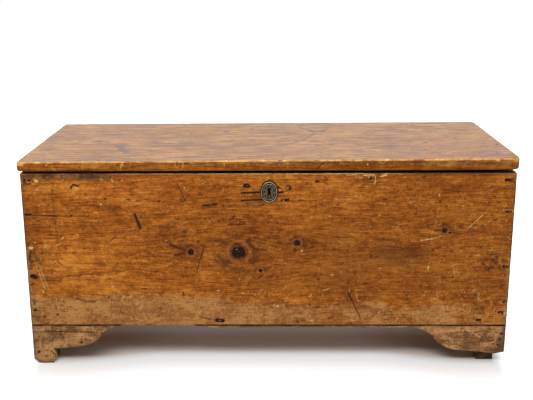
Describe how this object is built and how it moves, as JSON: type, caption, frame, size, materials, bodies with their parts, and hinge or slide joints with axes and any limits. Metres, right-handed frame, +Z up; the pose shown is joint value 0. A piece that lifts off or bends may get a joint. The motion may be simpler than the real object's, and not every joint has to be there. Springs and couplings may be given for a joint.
{
  "type": "blanket chest",
  "caption": "Antique nailed pine blanket chest on ogee bracket feet, with a hinged overhanging lid, an oval brass keyhole plate, a mortised lock with sliding bolt and an open till.",
  "frame": {"origin": "on the floor under the middle of the lid", "axes": "+Z up, the front with the keyhole faces -Y, +X to the right of someone facing the front"},
  "size_m": [1.156, 0.501, 0.5102],
  "materials": {
    "case_pine": "aged orange-brown shellac, satin",
    "lid_pine": "sun-faded pinkish tan, worn satin",
    "base_pine": "worn grey-brown",
    "raw_pine": "bare, dusty",
    "iron": "dark rusty wrought iron",
    "brass": "aged dark brass"
  },
  "bodies": {
    "chest": {"front_board": "case_pine", "back_board": "case_pine", "left_end_board": "case_pine", "right_end_board": "case_pine", "bottom_front_board": "raw_pine", "bottom_back_board": "raw_pine", "till_side_board": "raw_pine", "till_bottom_board": "raw_pine", "front_plinth": "base_pine", "left_plinth": "base_pine", "right_plinth": "base_pine", "back_left_bracket": "base_pine", "back_right_bracket": "base_pine", "front_left_foot_block": "raw_pine", "front_right_foot_block": "raw_pine", "back_left_foot_block": "raw_pine", "back_right_foot_block": "raw_pine", "plinth_glue_blocks": "raw_pine", "front_corner_nails": "iron", "back_corner_nails": "iron", "bottom_nails": "iron", "till_nails": "iron", "plinth_nails": "iron", "lock_plate": "iron", "lock_case": "iron", "lock_key_post": "iron", "lock_bolt_stud": "iron", "lock_spring": "iron", "lock_nails": "iron", "escutcheon": "brass", "escutcheon_pins": "brass", "left_hinge_case_leaf": "iron", "right_hinge_case_leaf": "iron", "left_hinge_pin": "iron", "right_hinge_pin": "iron", "hinge_case_screws": "iron"},
    "lid": {"lid_board": "lid_pine", "left_hinge_lid_leaf": "iron", "right_hinge_lid_leaf": "iron", "hinge_lid_screws": "iron", "lock_link_plate": "iron", "link_plate_screws": "iron"},
    "lock_bolt": {"lock_bolt": "iron"}
  },
  "joints": [
    {"name": "lid_hinge", "type": "hinge", "parent": "chest", "child": "lid", "pos_m": [0, 0.236, 0.4772], "axis": [-1, 0, 0], "range_deg": [0, 113]},
    {"name": "bolt_slide", "type": "slide", "parent": "chest", "child": "lock_bolt", "axis": [1, 0, 0], "range_m": [0, 0.0085]}
  ]
}
